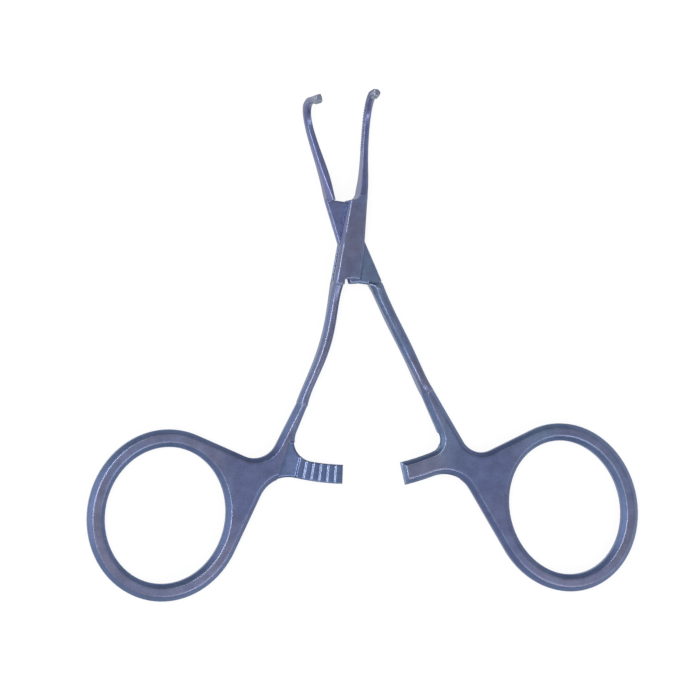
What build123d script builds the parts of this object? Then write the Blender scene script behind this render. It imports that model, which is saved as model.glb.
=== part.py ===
from build123d import *
from math import acos, atan2, cos, degrees, floor, hypot, pi, radians, sin, sqrt
import os

os.makedirs("parts", exist_ok=True)

# Small ring-handled vascular clamp with a box lock, toothed curved jaws and a ratchet, lying on its back.
# Sizes are millimetres and degrees. The origin is on the pin's axis in the back face of the lock, +Y runs
# to the jaws and +Z out of the front face. Each half is drawn closed, in a frame of its own whose +X side
# holds its finger ring and whose -Z face holds its ratchet teeth, and is then turned open about the pin.

# Opening of the two halves at rest
opening = 21.0

# Box lock
lock_thickness = 5.0
lock_wall_reach = 8.4
lock_foot_reach = 9.3
lock_top_reach = 9.3
lock_ring_side_top = (1.52, 7.8)
lock_ring_side_foot = 3.05
lock_free_side = 2.55
lock_free_side_top = 2.3
lock_top_hollow = ((0.8, 7.98), 1.6)
lock_jaw_side = 0.62
lock_crotch_side = 0.9
lock_bevel = 0.5
lock_back_bevel = 1.1
slot_clear_span = 12.0
tenon_thickness = 1.6
tenon_play = 0.05
tenon_bevel = 0.3
tenon_top_reach = 7.7
tenon_foot_reach = 9.1
slot_end_clearance = 0.1
tenon_jaw_side = 2.8
tenon_shank_side = 2.5
tenon_top_edge = [(1.2, 7.55), (-1.3, 8.62)]
tenon_foot_edge = [(-0.9, -9.05), (1.6, -10.1)]
jaw_shoulder = [(-0.8, 8.5), (-3.05, 9.05)]
shank_shoulder = [(0.45, -8.2), (3.9, -9.8)]
shoulder_slope = 38.0
shoulder_span = 6.0
shoulder_overlap = 1.2
pin_radius = 1.4
pin_running_clearance = 0.04

# Jaws: their middle line runs straight, then curves to the front, then runs to the tip
jaw_curve_start = 23.8
jaw_curve_radius = 5.5
jaw_root = 8.2

# Jaw stations along that line as (distance, centre, width, thickness, bevel of the outer edges)
box_jaw = [
    (jaw_root, 1.52, 1.64, 5.0, 0.4),
    (11.5, 1.54, 1.58, 3.9, 0.4),
    (15.0, 1.45, 1.34, 2.8, 0.4),
    (19.0, 1.24, 1.22, 2.15, 0.4),
    (23.8, 1.17, 1.22, 1.9, 0.42),
    (27.3, 1.11, 1.26, 1.7, 0.42),
    (30.8, 0.95, 1.3, 1.5, 0.44),
    (34.3, 0.68, 1.32, 1.38, 0.46),
    (38.04, 0.28, 1.28, 1.3, 0.48),
]
tenon_jaw = [
    (jaw_root, 2.06, 1.52, 5.0, 0.9),
    (11.0, 1.96, 1.56, 4.1, 0.75),
    (14.5, 1.87, 1.68, 2.9, 0.5),
    (18.5, 2.05, 1.54, 2.2, 0.45),
    (23.8, 2.21, 1.36, 1.9, 0.42),
    (27.3, 2.14, 1.36, 1.7, 0.42),
    (30.8, 1.95, 1.4, 1.5, 0.44),
    (34.3, 1.62, 1.36, 1.38, 0.46),
    (38.04, 1.2, 1.3, 1.3, 0.48),
]

# Fine jaw teeth
tooth_start = 18.2
tooth_pitch = 0.53
tooth_height = 0.2
tooth_root = 0.12
centre_row_width = 0.4
row_clearance = 0.05
side_row_width = 0.45

# Shanks: stations from the lock's foot to the arm as (share of the way, centre, width, bevel)
shank_thickness = 3.2
shank_overlap = 0.4
box_shank = [
    (0.0, 1.93, 2.05, 0.55),
    (0.126, 2.4, 1.96, 0.6),
    (0.301, 3.0, 2.05, 0.6),
    (0.508, 5.0, 1.85, 0.55),
    (0.688, 7.0, 2.2, 0.7),
]
tenon_shank = [
    (0.0, 2.3, 2.6, 0.8),
    (0.06, 2.73, 2.52, 0.75),
    (0.163, 3.34, 2.3, 0.6),
    (0.296, 4.3, 2.35, 0.6),
    (0.507, 5.85, 2.25, 0.6),
    (0.676, 7.1, 2.65, 0.8),
]

# Finger rings
handle_thickness = 3.0
handle_bevel = 0.95
ring_band = 3.55
ring_reach = 67.7
box_ring_angle = 29.1
box_hole_width = 24.6
box_hole_length = 27.7
box_ring_lean = 7.5
tenon_ring_extra_reach = 3.9
tenon_ring_angle = 23.9
tenon_hole_width = 23.8
tenon_hole_length = 28.2
tenon_ring_lean = 3.4

# Ratchet arms, placed above the rings
arm_rise = 21.7
box_arm_depth = 3.9
box_arm_end_angle = 3.5
tenon_arm_drop = 0.7
tenon_arm_depth = 4.7
tenon_arm_end_angle = 3.0
ratchet_teeth = 6
ratchet_pitch_angle = 1.9
ratchet_depth = 0.45
ratchet_clearance = 0.04
ratchet_root = 0.3
recess_angle = 12.2
recess_margin = 3.0

# Web corners above the ring, inside the arm and below it. A slope is the way across for each millimetre down.
box_web_slope = 0.2827
box_web_rise = 2.5
box_web_radius = 5.0
box_inner_angle = 11.6
box_inner_radius = 4.4
box_lower_angle = 13.9
box_lower_radius = 6.5
tenon_web_slope = 0.252485
tenon_web_rise = 1.1
tenon_web_radius = 4.6
tenon_inner_angle = 9.2
tenon_inner_radius = 2.65
tenon_lower_angle = 10.0
tenon_lower_radius = 6.7

mid_height = lock_thickness / 2
slot_height = tenon_thickness + 2 * tenon_play
shank_top = lock_foot_reach - shank_overlap
box_arm_inner = ring_reach - arm_rise
box_arm_outer = box_arm_inner + box_arm_depth
tenon_arm_inner = box_arm_inner + tenon_arm_drop
tenon_arm_outer = tenon_arm_inner + tenon_arm_depth
box_web_down = box_arm_outer - box_web_rise
tenon_web_down = tenon_arm_outer - tenon_web_rise


def half_frame(angle, ring_side):
    # The frame of one half, turned about the pin by half the opening
    turn = radians(angle)
    across = (ring_side * cos(turn), ring_side * sin(turn), 0)
    return Plane(origin=(0, 0, mid_height), x_dir=across, z_dir=(0, 0, ring_side))


def section_frame(frame, place, direction):
    # A plane across the shank at one station, square to the shank's direction
    along = radians(direction)
    across = frame.x_dir * cos(along) + frame.y_dir * sin(along)
    down = frame.x_dir * sin(along) - frame.y_dir * cos(along)
    spot = frame.from_local_coords(Vector(place[0], place[1], 0))
    return Plane(origin=spot, x_dir=across, z_dir=down)


def from_pin(reach, angle):
    # A point by its distance from the pin and its angle from straight down, towards the ring
    return (reach * sin(radians(angle)), -reach * cos(radians(angle)))


def ring_tangent(ring_at, radii, lean, corner, side):
    # Where a line from a corner of the web touches the ring's outer ellipse
    turn = radians(lean)
    dx = corner[0] - ring_at[0]
    dy = corner[1] - ring_at[1]
    u = (dx * cos(turn) + dy * sin(turn)) / radii[0]
    v = (dy * cos(turn) - dx * sin(turn)) / radii[1]
    touch = atan2(v, u) + side * acos(1 / hypot(u, v))
    x = radii[0] * cos(touch)
    y = radii[1] * sin(touch)
    return (ring_at[0] + x * cos(turn) - y * sin(turn), ring_at[1] + x * sin(turn) + y * cos(turn))


def upright_edge(part, frame, x, y):
    # The upright edge nearest to a point of the plan
    spot = frame.from_local_coords(Vector(x, y, 0))
    return part.edges().filter_by(Axis.Z).sort_by_distance(spot)[0]


def half_disc(reach, towards, left, right):
    # The half of a disc about the pin above or below it, trimmed at both sides
    far = towards * reach
    with BuildSketch() as face:
        Circle(reach)
        Polygon((left, 0), (right, 0), (right, far), (left, far), align=None, mode=Mode.INTERSECT)
    return face.sketch_local


def to_side(line, x):
    # The point of a straight line at a distance across
    (x0, y0), (x1, y1) = line
    return (x, y0 + (y1 - y0) * (x - x0) / (x1 - x0))


def sector(inner, outer, first, last):
    # A ring sector about the pin, as a flat face
    middle = (first + last) / 2
    with BuildSketch() as face:
        with BuildLine():
            ThreePointArc(from_pin(inner, first), from_pin(inner, middle), from_pin(inner, last))
            Line(from_pin(inner, last), from_pin(outer, last))
            ThreePointArc(from_pin(outer, last), from_pin(outer, middle), from_pin(outer, first))
            Line(from_pin(outer, first), from_pin(inner, first))
        make_face()
    return face.sketch_local


def placed(stations, arm_inner):
    # The stations of a shank with their shares turned into distances from the pin
    return [(shank_top + share * (arm_inner - shank_top), *rest) for share, *rest in stations]


def plate_end(stations):
    # The top corners of the handle's plate, a little above the shank's last station
    before, last = stations[-2:]
    share = shank_overlap / (last[0] - before[0])
    centre = last[1] + (before[1] - last[1]) * share
    half_width = (last[2] + (before[2] - last[2]) * share) / 2
    down = last[0] - shank_overlap
    return [(centre - half_width, -down), (centre + half_width, -down)]


def shank(frame, stations):
    # A shank lofted through bevelled sections, from the lock's thickness to the handle's
    with BuildPart() as bar:
        for index, (down, centre, width, bevel) in enumerate(stations):
            before = stations[max(index - 1, 0)]
            after = stations[min(index + 1, len(stations) - 1)]
            direction = degrees(atan2(after[1] - before[1], after[0] - before[0]))
            thickness = shank_thickness
            if index == 0:
                thickness = lock_thickness
            if index == len(stations) - 1:
                thickness = handle_thickness
            with BuildSketch(section_frame(frame, (centre, -down), direction)) as section:
                Rectangle(width, thickness)
                chamfer(section.vertices(), bevel)
        loft()
    return bar.part


def handle(frame, ring_at, hole, lean, shank_end, corners, arm):
    # Finger ring, web, lower shank and ratchet arm: one bevelled plate with teeth on the arm
    arm_inner, arm_outer, arm_end = arm
    upper_corner, inner_corner, lower_corner = corners
    arm_root_angle = lower_corner[0]
    inner_corner = (*from_pin(arm_inner, inner_corner[0]), inner_corner[1])
    lower_corner = (*from_pin(arm_outer, lower_corner[0]), lower_corner[1])
    radii = (hole[0] / 2 + ring_band, hole[1] / 2 + ring_band)
    ring_place = Location((ring_at[0], ring_at[1], 0), (0, 0, lean))
    web = [
        ring_tangent(ring_at, radii, lean, upper_corner, -1),
        upper_corner[:2],
        lower_corner[:2],
        ring_tangent(ring_at, radii, lean, lower_corner, 1),
    ]
    with BuildPart() as plate:
        with BuildSketch(frame.offset(-handle_thickness / 2)):
            with Locations(ring_place):
                Ellipse(*radii)
            Polygon(*web, align=None)
            Polygon(*shank_end, upper_corner[:2], lower_corner[:2], inner_corner[:2], align=None)
            add(sector(arm_inner, arm_outer, -arm_end, arm_root_angle))
            with Locations(ring_place):
                Ellipse(hole[0] / 2, hole[1] / 2, mode=Mode.SUBTRACT)
        extrude(amount=handle_thickness)
        for x, y, radius in (upper_corner, inner_corner, lower_corner):
            fillet(upright_edge(plate, frame, x, y), radius)
        uncut = plate.part
        middle = Vector((shank_end[0][0] + shank_end[1][0]) / 2, shank_end[0][1], 0)
        upright_faces = plate.faces().filter_by(Axis.Z, reverse=True)
        cut_end = upright_faces.sort_by_distance(frame.from_local_coords(middle))[0]
        rim = plate.faces().filter_by(Axis.Z).edges() - cut_end.edges()
        chamfer(rim, handle_bevel)
        with BuildSketch(frame.offset(ratchet_clearance + ratchet_depth)):
            span = (arm_inner - recess_margin, arm_outer + recess_margin)
            add(sector(*span, -arm_end - recess_margin, recess_angle))
        extrude(amount=-handle_thickness, mode=Mode.SUBTRACT)
    teeth = ratchet(frame, arm_inner, arm_outer, arm_end)
    return plate.part + (teeth & uncut)


def ratchet(frame, arm_inner, arm_outer, arm_end):
    # A row of saw teeth, all radial to the pin, steep towards the ring and sloping towards the arm's end
    low = ratchet_clearance + ratchet_depth
    inner = arm_inner - recess_margin
    outer = arm_outer + recess_margin
    teeth = []
    for index in range(ratchet_teeth):
        steep = -arm_end + (index + 1) * ratchet_pitch_angle
        middle = steep - ratchet_pitch_angle / 2
        half_pitch = radians(ratchet_pitch_angle / 2)
        with BuildPart() as tooth:
            for reach in (inner, outer):
                place = from_pin(reach * cos(half_pitch), middle)
                with BuildSketch(section_frame(frame, place, middle)):
                    half_width = reach * sin(half_pitch)
                    Polygon(
                        (-half_width, low),
                        (-half_width, low + ratchet_root),
                        (half_width, low + ratchet_root),
                        (half_width, ratchet_clearance),
                        align=None,
                    )
            loft(ruled=True)
        teeth.append(tooth.part)
    row = teeth[0]
    return row.fuse(*teeth[1:])


def jaw_place(frame, curl, distance):
    # A plane across the jaw at a distance along its middle line: x is outwards and y towards the front
    front = frame.z_dir * curl
    outwards = frame.x_dir * -1
    turn = min(max((distance - jaw_curve_start) / jaw_curve_radius, 0), pi / 2)
    beyond = max(distance - jaw_curve_start - jaw_curve_radius * pi / 2, 0)
    y = min(distance, jaw_curve_start) + jaw_curve_radius * sin(turn)
    z = jaw_curve_radius * (1 - cos(turn)) + beyond
    across = front * cos(turn) - frame.y_dir * sin(turn)
    spot = frame.origin + frame.y_dir * y + front * z
    return Plane(origin=spot, x_dir=outwards, z_dir=outwards.cross(across))


def jaw(frame, curl, stations):
    # A jaw lofted along its middle line, square at the gripping face and bevelled outside
    with BuildPart() as bar:
        for distance, centre, width, thickness, bevel in stations:
            inner = centre - width / 2
            outer = centre + width / 2
            half = thickness / 2
            with BuildSketch(jaw_place(frame, curl, distance)):
                Polygon(
                    (inner, -half),
                    (outer - bevel, -half),
                    (outer, bevel - half),
                    (outer, half - bevel),
                    (outer - bevel, half),
                    (inner, half),
                    align=None,
                )
        loft()
    return bar.part


def face_place(stations, distance):
    # How far the gripping face stands off the pin's plane at a distance along the jaw
    for before, after in zip(stations, stations[1:]):
        if distance <= after[0]:
            share = (distance - before[0]) / (after[0] - before[0])
            near = before[1] - before[2] / 2
            far = after[1] - after[2] / 2
            return near + (far - near) * share
    return stations[-1][1] - stations[-1][2] / 2


def jaw_teeth(frame, curl, stations, rows):
    # Rows of fine ridges along the gripping face, following the jaw round its curve
    teeth = []
    for index in range(floor((stations[-1][0] - tooth_start) / tooth_pitch)):
        distance = tooth_start + (index + 0.5) * tooth_pitch
        place = jaw_place(frame, curl, distance)
        crest = face_place(stations, distance)
        for offset, width in rows:
            spot = place.origin + place.x_dir * crest + place.y_dir * (offset - width / 2)
            with BuildPart() as ridge:
                with BuildSketch(Plane(origin=spot, x_dir=place.x_dir, z_dir=place.y_dir)):
                    Polygon(
                        (tooth_root, -tooth_pitch / 2),
                        (0, -tooth_pitch / 2),
                        (-tooth_height, 0),
                        (0, tooth_pitch / 2),
                        (tooth_root, tooth_pitch / 2),
                        align=None,
                    )
                extrude(amount=width)
            teeth.append(ridge.part)
    return teeth


box_frame = half_frame(-opening / 2, -1)
tenon_frame = half_frame(opening / 2, 1)

# Half with the box: right jaw, lock walls, left shank, left arm and left ring
box_stations = placed(box_shank, box_arm_inner)
box_handle = handle(
    box_frame,
    from_pin(ring_reach, box_ring_angle),
    (box_hole_width, box_hole_length),
    box_ring_lean,
    plate_end(box_stations),
    (
        (box_web_slope * box_web_down, -box_web_down, box_web_radius),
        (box_inner_angle, box_inner_radius),
        (box_lower_angle, box_lower_radius),
    ),
    (box_arm_inner, box_arm_outer, box_arm_end_angle),
)
side_row_offset = centre_row_width / 2 + row_clearance + side_row_width / 2
side_rows = [(side_row_offset, side_row_width), (-side_row_offset, side_row_width)]
foot_y = -sqrt(lock_wall_reach**2 - lock_free_side**2)
crotch = (lock_crotch_side, -sqrt(lock_wall_reach**2 - lock_crotch_side**2))
hollow_end, hollow_radius = lock_top_hollow
slot_top_reach = max(tenon_top_reach, to_side(tenon_top_edge, 0)[1]) + slot_end_clearance
slot_foot_reach = tenon_foot_reach + slot_end_clearance
with BuildPart() as box_half:
    with BuildSketch(box_frame):
        with BuildLine():
            Polyline(
                (-lock_jaw_side, lock_top_reach),
                (-lock_free_side_top, lock_top_reach),
                (-lock_free_side, 0),
                (-lock_free_side, foot_y),
            )
            RadiusArc((-lock_free_side, foot_y), crotch, lock_wall_reach)
            Polyline(
                crotch,
                (lock_crotch_side, -lock_foot_reach),
                (lock_ring_side_foot, -lock_foot_reach),
                lock_ring_side_top,
                hollow_end,
            )
            RadiusArc(hollow_end, (-lock_jaw_side, lock_top_reach), hollow_radius)
        make_face()
    extrude(amount=lock_thickness / 2, both=True)
    long_edges = box_half.edges().filter_by(lambda edge: edge.length > lock_thickness)
    back_edges = long_edges.group_by(Axis.Z)[0]
    chamfer(long_edges - back_edges, lock_bevel)
    chamfer(back_edges, lock_back_bevel)
    add(jaw(box_frame, -1, box_jaw))
    add(shank(box_frame, box_stations))
    add(box_handle)
    with BuildSketch(box_frame):
        add(half_disc(slot_top_reach, 1, -slot_top_reach, slot_top_reach))
        add(half_disc(slot_foot_reach, -1, -slot_foot_reach, slot_foot_reach))
        Rectangle(slot_clear_span, slot_clear_span, align=(Align.MIN, Align.MIN))
        Rectangle(slot_clear_span, slot_clear_span, align=(Align.MAX, Align.MAX))
    extrude(amount=slot_height / 2, both=True, mode=Mode.SUBTRACT)
    with Locations(box_frame):
        Hole(pin_radius)
    add(jaw_teeth(box_frame, -1, box_jaw, side_rows))
box_half.part.label = "box_half"
export_step(box_half.part, "parts/box_half.step")


def tenon_arm(side, edge, outer, towards):
    # Outline of the thin tenon on one side of the pin, running on into its shoulder
    near, far = edge
    root = ((far[0] + outer[0]) / 2, outer[1] + towards * shoulder_overlap)
    return [(side, 0), (near[0], 0), near, far, root, outer]


# Half with the tenon: left jaw, thin tenon, right shank, right arm and right ring
tenon_stations = placed(tenon_shank, tenon_arm_inner)
tenon_handle = handle(
    tenon_frame,
    from_pin(ring_reach + tenon_ring_extra_reach, tenon_ring_angle),
    (tenon_hole_width, tenon_hole_length),
    tenon_ring_lean,
    plate_end(tenon_stations),
    (
        (tenon_web_slope * tenon_web_down, -tenon_web_down, tenon_web_radius),
        (tenon_inner_angle, tenon_inner_radius),
        (tenon_lower_angle, tenon_lower_radius),
    ),
    (tenon_arm_inner, tenon_arm_outer, tenon_arm_end_angle),
)
with BuildPart() as tenon_plate:
    with BuildSketch(tenon_frame):
        add(half_disc(tenon_top_reach, 1, -tenon_jaw_side, tenon_shank_side))
        add(half_disc(tenon_foot_reach, -1, -tenon_jaw_side, tenon_shank_side))
        Polygon(*tenon_arm(-tenon_jaw_side, tenon_top_edge, jaw_shoulder[1], 1), align=None)
        Polygon(*tenon_arm(tenon_shank_side, tenon_foot_edge, shank_shoulder[1], -1), align=None)
    extrude(amount=tenon_thickness / 2, both=True)
    chamfer(tenon_plate.faces().filter_by(Axis.Z).edges(), tenon_bevel)
with BuildPart() as tenon_half:
    add(jaw(tenon_frame, 1, tenon_jaw))
    add(shank(tenon_frame, tenon_stations))
    with BuildSketch(tenon_frame):
        Polygon(
            (-shoulder_span, 0),
            (shoulder_span, 0),
            to_side(jaw_shoulder, shoulder_span),
            to_side(jaw_shoulder, -shoulder_span),
            align=None,
        )
    extrude(amount=lock_thickness, both=True, mode=Mode.SUBTRACT)
    with BuildSketch(tenon_frame):
        Polygon(
            (-shoulder_span, 0),
            to_side(shank_shoulder, -shoulder_span),
            to_side(shank_shoulder, shoulder_span),
            (shoulder_span, 0),
            align=None,
        )
    extrude(amount=lock_thickness, both=True, taper=-shoulder_slope, mode=Mode.SUBTRACT)
    add(tenon_plate.part)
    add(tenon_handle)
    with Locations(tenon_frame):
        Hole(pin_radius + pin_running_clearance)
    add(jaw_teeth(tenon_frame, 1, tenon_jaw, [(0, centre_row_width)]))
tenon_half.part.label = "tenon_half"
export_step(tenon_half.part, "parts/tenon_half.step")

# Rivet through the lock, flush on both faces
with BuildPart() as pivot_pin:
    with BuildSketch():
        Circle(pin_radius)
    extrude(amount=lock_thickness)
pivot_pin.part.label = "pivot_pin"
export_step(pivot_pin.part, "parts/pivot_pin.step")
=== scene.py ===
import math

import bpy
from mathutils import Matrix, Vector


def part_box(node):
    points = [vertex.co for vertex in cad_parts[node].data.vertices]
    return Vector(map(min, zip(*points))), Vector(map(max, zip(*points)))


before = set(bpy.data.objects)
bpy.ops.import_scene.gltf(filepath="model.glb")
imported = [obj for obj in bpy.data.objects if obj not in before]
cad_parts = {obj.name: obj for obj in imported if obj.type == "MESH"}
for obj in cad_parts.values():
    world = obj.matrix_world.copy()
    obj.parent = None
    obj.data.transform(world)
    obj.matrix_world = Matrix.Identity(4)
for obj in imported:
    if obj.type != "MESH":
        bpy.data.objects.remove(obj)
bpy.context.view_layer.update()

MM = 0.001


def mm(*values):
    # Lengths written in millimetres, as metres
    return tuple(value * MM for value in values)


def srgb(red, green, blue):
    # A colour given as 8-bit screen values, as the linear numbers that shaders take
    out = []
    for value in (red, green, blue):
        share = value / 255
        out.append(share / 12.92 if share <= 0.04045 else ((share + 0.055) / 1.055) ** 2.4)
    return (*out, 1.0)


# Colours of the oxide, of its worn edges with their painted highlight, and of the grey towards the jaw tips
SLATE = srgb(110, 117, 160)
TEAL = srgb(108, 124, 154)
BROWN = srgb(112, 115, 140)
VIOLET = srgb(110, 114, 158)
# Painted shade on the webs
WEB_PAINTED_SHADE = srgb(90, 100, 138)
# Painted sheen on the bevels below the lock
BEVEL_PAINTED_SHEEN = srgb(104, 124, 162)
EDGE_WEAR_AND_HIGHLIGHT = srgb(166, 182, 208)
TIP_GREY = srgb(148, 154, 156)

# The pin runs from the lock's back face to its front face, so its middle is the instrument's middle plane
pin_low, pin_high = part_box("pivot_pin")
MID_HEIGHT = (pin_low[2] + pin_high[2]) / 2

# Each stretch of lengths below runs from where a look begins to change to where it has changed

# Distance from the middle plane, up or down
OUTER_FACES = mm(1.1, 1.5)
BEVELS_END = mm(1.35, 1.5)

# Height above the lock's back face
JAWS_RISE = mm(5.2, 7.0)
TIPS = mm(9.5, 13.0)

# Along the instrument, from the pin towards the jaws
JAW_ROOTS = mm(6.0, 10.0)
LOCK_FOOT = mm(-10.0, -13.0)
HANDLES = mm(-37.0, -39.0)
JAWS_TO_SHANKS = mm(5.0, -14.0)

# Across the instrument from its middle line: the right arm to the right, the others to either side
RIGHT_ARM_END = mm(3.0, 5.0)
RIGHT_ARM_ROOT = mm(17.0, 13.0)
RATCHET_ROOTS = mm(14.3, 15.2)
WEBS_BEGIN = mm(15.0, 20.0)
WEBS_END = mm(34.0, 27.0)
WEB_EDGES = mm(20.0, 22.0)

# Distance from the pin's axis
PIN_SURROUND = mm(1.6, 2.3)

# Half width of the worn, painted-highlight line along an edge, and the rounding that the shading gives to the
# edges
WORN_AND_LIT_WIDTH = 0.24 * MM
JAW_ROUNDING = 0.36 * MM
SHANK_ROUNDING = 0.6 * MM

# Depth of the blasted grain
GRAIN_DEPTH = 0.02 * MM

# The mix node's two inputs and its output, which stand at other numbers for each kind of value
MIX_SOCKETS = {"VECTOR": (4, 5, 1), "RGBA": (6, 7, 2)}


def node(tree, kind, **values):
    # A new shader node, with its sockets or settings filled in by name
    made = tree.nodes.new(kind)
    for name, value in values.items():
        if name in made.inputs:
            made.inputs[name].default_value = value
        else:
            setattr(made, name, value)
    return made


def feed(tree, socket, value):
    # Give a socket another node's output, or a plain value
    if isinstance(value, bpy.types.NodeSocket):
        tree.links.new(value, socket)
    else:
        socket.default_value = value


def noise(tree, place, scale, detail, roughness=0.5):
    # A cloudy value between 0 and 1
    made = node(tree, "ShaderNodeTexNoise", Scale=scale, Detail=detail, Roughness=roughness)
    tree.links.new(place, made.inputs["Vector"])
    return made.outputs["Fac"]


def ramp(tree, source, stops):
    # A colour that changes with a value, through stops of place and colour
    made = node(tree, "ShaderNodeValToRGB")
    while len(made.color_ramp.elements) < len(stops):
        made.color_ramp.elements.new(0.5)
    for element, (place, colour) in zip(made.color_ramp.elements, stops):
        element.position = place
        element.color = colour
    tree.links.new(source, made.inputs["Fac"])
    return made.outputs["Color"]


def mix(tree, kind, first, second, factor, **settings):
    # Two vectors or colours mixed by a factor
    made = node(tree, "ShaderNodeMix", data_type=kind, **settings)
    first_input, second_input, output = MIX_SOCKETS[kind]
    feed(tree, made.inputs[0], factor)
    feed(tree, made.inputs[first_input], first)
    feed(tree, made.inputs[second_input], second)
    return made.outputs[output]


def tint(tree, below, above, factor, blend="MIX"):
    # One colour laid over another by a factor
    return mix(tree, "RGBA", below, above, factor, blend_type=blend)


def fade(tree, source, stretch, low=0.0, high=1.0):
    # A smooth change from low to high as a measured value runs through a stretch
    made = node(tree, "ShaderNodeMapRange", interpolation_type="SMOOTHSTEP")
    numbers = {"From Min": stretch[0], "From Max": stretch[1], "To Min": low, "To Max": high}
    for name, number in numbers.items():
        made.inputs[name].default_value = number
    tree.links.new(source, made.inputs["Value"])
    return made.outputs["Result"]


def arithmetic(tree, operation, first, second):
    # Two values joined by arithmetic
    made = node(tree, "ShaderNodeMath", operation=operation)
    feed(tree, made.inputs[0], first)
    feed(tree, made.inputs[1], second)
    return made.outputs[0]


def product(tree, first, *others):
    # Values multiplied together
    for other in others:
        first = arithmetic(tree, "MULTIPLY", first, other)
    return first


def size_of(tree, value):
    # A value without its sign
    return arithmetic(tree, "ABSOLUTE", value, 0.0)


def empty_material(name):
    # A material with no nodes yet
    material = bpy.data.materials.new(name)
    material.use_nodes = True
    material.node_tree.nodes.clear()
    return material, material.node_tree


def measures(tree, place):
    # Where a point of the metal lies: its coordinates, and its distances from the middle plane, from the
    # middle line and from the pin's axis
    axes = node(tree, "ShaderNodeSeparateXYZ")
    tree.links.new(place, axes.inputs[0])
    at = {name: axes.outputs[name] for name in "XYZ"}
    at["height"] = size_of(tree, arithmetic(tree, "SUBTRACT", at["Z"], MID_HEIGHT))
    at["across"] = size_of(tree, at["X"])
    flat_place = node(tree, "ShaderNodeVectorMath", operation="MULTIPLY")
    flat_place.inputs[1].default_value = (1, 1, 0)
    tree.links.new(place, flat_place.inputs[0])
    from_pin = node(tree, "ShaderNodeVectorMath", operation="LENGTH")
    tree.links.new(flat_place.outputs[0], from_pin.inputs[0])
    at["from_pin"] = from_pin.outputs["Value"]
    return at


def oxide_colour(tree, at, wide):
    # Slate and teal clouds, brown ones on the outer faces, the tones of the jaws and the right arm, a painted
    # sheen on the bevels below the lock and painted shade on the webs
    handles = fade(tree, at["Y"], HANDLES)
    outer_faces = fade(tree, at["height"], OUTER_FACES)
    colour = ramp(tree, wide, [(0.36, SLATE), (0.64, TEAL)])

    brown_clouds = fade(tree, wide, (0.62, 0.38), low=0.15)
    below_jaws = fade(tree, at["Z"], JAWS_RISE, low=1.0, high=0.0)
    colour = tint(tree, colour, BROWN, product(tree, brown_clouds, outer_faces, below_jaws))

    # Painted sheen: the bevels below the lock tinted bluer teal
    bevel_sheen = fade(tree, at["height"], BEVELS_END, low=0.6, high=0.0)
    colour = tint(tree, colour, BEVEL_PAINTED_SHEEN, product(tree, bevel_sheen, fade(tree, at["Y"], LOCK_FOOT)))
    colour = tint(tree, colour, VIOLET, fade(tree, at["Y"], JAW_ROOTS, high=0.7))

    # Painted shade: the webs between the rings darkened towards the handles
    webs_begin = fade(tree, at["across"], WEBS_BEGIN)
    webs_end = fade(tree, at["across"], WEBS_END, high=0.65)
    colour = tint(tree, colour, WEB_PAINTED_SHADE, product(tree, webs_begin, webs_end, handles))

    arm_end = fade(tree, at["X"], RIGHT_ARM_END)
    arm_root = fade(tree, at["X"], RIGHT_ARM_ROOT, high=0.8)
    return tint(tree, colour, BROWN, product(tree, arm_end, arm_root, outer_faces, handles))


def shaded(tree, colour, source, darkest, factor):
    # A colour darkened where a noise is low
    shade = ramp(tree, source, [(0.3, darkest), (0.7, (1, 1, 1, 1))])
    return tint(tree, colour, shade, factor, "MULTIPLY")


def edge_wear_and_highlight(tree, at, fine, surface, off_pin, strength):
    # Patchy wear and a painted highlight along the edges, which lie where a rounded normal leaves the face's
    # own. On the handles both are strongest on the ratchet arms and faint from the arms' roots to the webs'
    # edges
    rounded = node(tree, "ShaderNodeBevel", Radius=WORN_AND_LIT_WIDTH, samples=4)
    match = node(tree, "ShaderNodeVectorMath", operation="DOT_PRODUCT")
    tree.links.new(rounded.outputs["Normal"], match.inputs[0])
    tree.links.new(surface.outputs["True Normal"], match.inputs[1])
    worn_and_lit = fade(tree, match.outputs["Value"], (0.93, 0.995), low=strength, high=0.0)
    patchy = fade(tree, fine, (0.35, 0.6), low=0.6)
    worn_and_lit = product(tree, worn_and_lit, patchy, off_pin)

    # The ratchet arms' edges get more wear and more painted highlight
    arms = fade(tree, at["across"], RATCHET_ROOTS, low=1.4, high=-0.9)
    past_roots = fade(tree, at["across"], WEB_EDGES, high=0.9)
    rubbed_and_lit = product(tree, arithmetic(tree, "ADD", arms, past_roots), fade(tree, at["Y"], HANDLES))
    worn_and_lit = product(tree, worn_and_lit, arithmetic(tree, "ADD", rubbed_and_lit, 1.0))
    return arithmetic(tree, "MINIMUM", worn_and_lit, 1.0)


def soft_normal(tree, at, speckle, surface, off_pin):
    # Edges that shade as rounded ones, sharper on the jaws and left alone at the pin, with fine blasted grain
    soft = node(tree, "ShaderNodeBevel", samples=16)
    radius = fade(tree, at["Y"], JAWS_TO_SHANKS, low=JAW_ROUNDING, high=SHANK_ROUNDING)
    tree.links.new(radius, soft.inputs["Radius"])
    settled = mix(tree, "VECTOR", surface.outputs["Normal"], soft.outputs["Normal"], off_pin)
    bump = node(tree, "ShaderNodeBump", Strength=0.12, Distance=GRAIN_DEPTH)
    tree.links.new(speckle, bump.inputs["Height"])
    tree.links.new(settled, bump.inputs["Normal"])
    return bump.outputs["Normal"]


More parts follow.
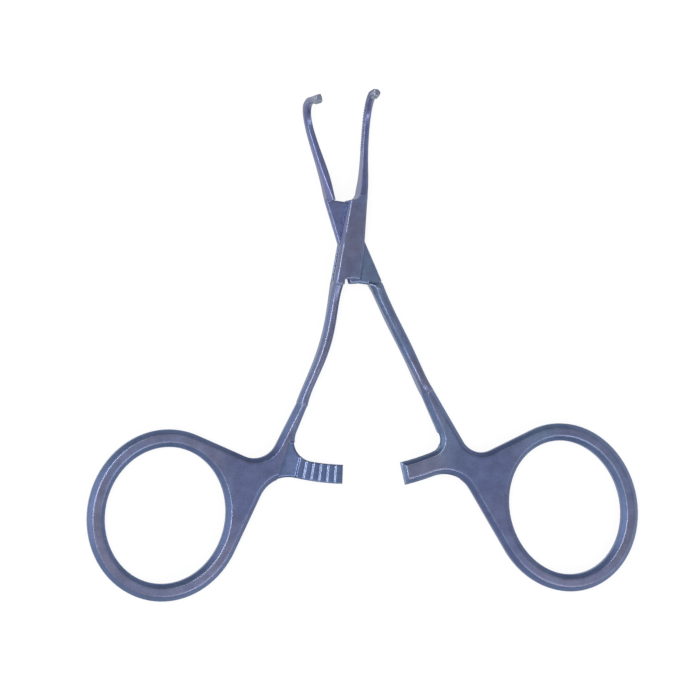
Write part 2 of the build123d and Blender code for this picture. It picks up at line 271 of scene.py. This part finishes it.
def titanium(name, wear_and_highlight_strength, grain):
    # Satin anodised titanium: slate blue oxide with brown and teal clouds, paler along its edges from wear
    # and a painted highlight, greyer at the jaw tips, with fine blasted grain
    material, tree = empty_material(name)
    place = node(tree, "ShaderNodeTexCoord").outputs["Object"]
    surface = node(tree, "ShaderNodeNewGeometry")
    at = measures(tree, place)
    off_pin = fade(tree, at["from_pin"], PIN_SURROUND, low=0.07)
    wide = noise(tree, place, scale=60.0, detail=3.0)
    fine = noise(tree, place, scale=420.0, detail=3.0, roughness=0.6)
    speckle = noise(tree, place, scale=grain, detail=2.0, roughness=0.65)

    colour = oxide_colour(tree, at, wide)
    colour = shaded(tree, colour, fine, (0.86, 0.85, 0.86, 1), factor=1.0)
    colour = shaded(tree, colour, speckle, (0.72, 0.72, 0.74, 1), factor=0.7)
    # Greyer towards the jaw tips
    colour = tint(tree, colour, TIP_GREY, fade(tree, at["Z"], TIPS, high=0.5))
    # Worn edges with a painted highlight, laid on as a paler colour
    colour = tint(tree, colour, EDGE_WEAR_AND_HIGHLIGHT, edge_wear_and_highlight(tree, at, fine, surface, off_pin, wear_and_highlight_strength))

    shader = node(tree, "ShaderNodeBsdfPrincipled", Metallic=1.0)
    tree.links.new(colour, shader.inputs["Base Color"])
    tree.links.new(fade(tree, fine, (0.3, 0.7), low=0.32, high=0.38), shader.inputs["Roughness"])
    tree.links.new(soft_normal(tree, at, speckle, surface, off_pin), shader.inputs["Normal"])
    out = node(tree, "ShaderNodeOutputMaterial")
    tree.links.new(shader.outputs["BSDF"], out.inputs["Surface"])
    return material


def dress_nodes():
    # Metal with worn, painted-highlight edges on both halves, and without them on the pin, whose ends are
    # flush with the lock
    body_metal = titanium("anodised_titanium", wear_and_highlight_strength=0.5, grain=3200.0)
    pin_metal = titanium("anodised_titanium_pin", wear_and_highlight_strength=0.0, grain=4200.0)
    for name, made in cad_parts.items():
        made.data.materials.clear()
        made.data.materials.append(pin_metal if name == "pivot_pin" else body_metal)


def stage_floor():
    # A wide pale floor just under the part, nearly white to the camera and in reflections, with a soft shadow
    width = 8.0
    gap = 0.02 * MM
    white_share = 0.86
    bpy.ops.mesh.primitive_plane_add(size=width, location=(0, 0, -gap))
    floor = bpy.context.object
    floor.name = "floor"
    material, tree = empty_material("floor_white")
    place = node(tree, "ShaderNodeTexCoord").outputs["Object"]
    paper = noise(tree, place, scale=400.0, detail=2.0)
    shade = ramp(tree, paper, [(0.0, (0.78, 0.78, 0.785, 1)), (1.0, (0.82, 0.82, 0.825, 1))])
    diffuse = node(tree, "ShaderNodeBsdfDiffuse")
    tree.links.new(shade, diffuse.inputs["Color"])
    glow = node(tree, "ShaderNodeEmission", Color=(1, 1, 1, 1), Strength=1.04)

    path = node(tree, "ShaderNodeLightPath")
    seen = arithmetic(tree, "ADD", path.outputs["Is Camera Ray"], path.outputs["Is Glossy Ray"])
    seen = arithmetic(tree, "ADD", seen, path.outputs["Is Transmission Ray"])
    both = node(tree, "ShaderNodeMixShader")
    tree.links.new(product(tree, seen, white_share), both.inputs[0])
    tree.links.new(diffuse.outputs[0], both.inputs[1])
    tree.links.new(glow.outputs[0], both.inputs[2])
    out = node(tree, "ShaderNodeOutputMaterial")
    tree.links.new(both.outputs[0], out.inputs["Surface"])
    floor.data.materials.append(material)


def world_light():
    # Pale surroundings, brighter on the left and darker behind the jaws, which the camera sees as white
    world = bpy.data.worlds.new("studio")
    bpy.context.scene.world = world
    world.use_nodes = True
    tree = world.node_tree
    tree.nodes.clear()
    split = node(tree, "ShaderNodeSeparateXYZ")
    tree.links.new(node(tree, "ShaderNodeTexCoord").outputs["Generated"], split.inputs[0])
    left = fade(tree, split.outputs["X"], (0.25, -0.9), low=0.68, high=0.95)
    back = fade(tree, split.outputs["Y"], (0.2, 0.95), low=1.0, high=0.6)
    around = node(tree, "ShaderNodeBackground", Color=(0.97, 0.98, 1.0, 1))
    tree.links.new(product(tree, left, back), around.inputs["Strength"])
    seen_white = node(tree, "ShaderNodeBackground", Color=(1, 1, 1, 1), Strength=1.0)
    pick = node(tree, "ShaderNodeMixShader")
    tree.links.new(node(tree, "ShaderNodeLightPath").outputs["Is Camera Ray"], pick.inputs[0])
    tree.links.new(around.outputs[0], pick.inputs[1])
    tree.links.new(seen_white.outputs[0], pick.inputs[2])
    out = node(tree, "ShaderNodeOutputWorld")
    tree.links.new(pick.outputs[0], out.inputs["Surface"])


def area_lamp(name, place, size, watts, aim=(0, -0.02, 0)):
    # A soft box that faces a point near the lock
    lamp = bpy.data.lights.new(name, "AREA")
    lamp.shape = "RECTANGLE"
    lamp.size, lamp.size_y = size
    lamp.energy = watts
    made = bpy.data.objects.new(name, lamp)
    bpy.context.scene.collection.objects.link(made)
    made.location = place
    made.rotation_euler = (Vector(aim) - Vector(place)).to_track_quat("-Z", "Y").to_euler()


def studio_lamps():
    # A large key from the left, a fill from the lower right, a stripe for the bevels and a glint for the jaws
    area_lamp("key", place=(-0.75, 0.12, 0.2), size=(0.9, 0.35), watts=0.7)
    area_lamp("fill", place=(0.6, -0.5, 0.35), size=(0.5, 0.4), watts=0.8)
    area_lamp("stripe", place=(-0.232, 0.077, 0.566), size=(0.36, 0.07), watts=1.5)
    area_lamp("glint", place=(0.13, -0.26, 0.51), size=(0.07, 0.07), watts=0.46, aim=(0, 0.03, 0))


def photo_camera():
    # The photograph's view: from 13 degrees to the left of straight above, turned 5.2 degrees
    roll = math.radians(5.2)
    side = math.radians(13.0)
    distance = 650 * MM
    target = Vector(mm(-2.127, -22.451, 2.5))
    right = Vector((math.cos(roll), -math.sin(roll), 0))
    up = Vector((math.sin(roll), math.cos(roll), 0))
    back = Vector((0, 0, 1)) * math.cos(side) - right * math.sin(side)
    across = up.cross(back)
    camera = bpy.data.objects.new("camera", bpy.data.cameras.new("camera"))
    bpy.context.scene.collection.objects.link(camera)
    turn = Matrix((across, up, back)).transposed().to_4x4()
    camera.matrix_world = Matrix.Translation(target + back * distance) @ turn
    camera.data.sensor_width = 36.0
    camera.data.lens = 163.8
    camera.data.clip_start = 0.01
    camera.data.clip_end = 50.0
    bpy.context.scene.camera = camera


dress_nodes()
stage_floor()
world_light()
studio_lamps()
photo_camera()
bpy.context.scene.view_settings.view_transform = "Standard"
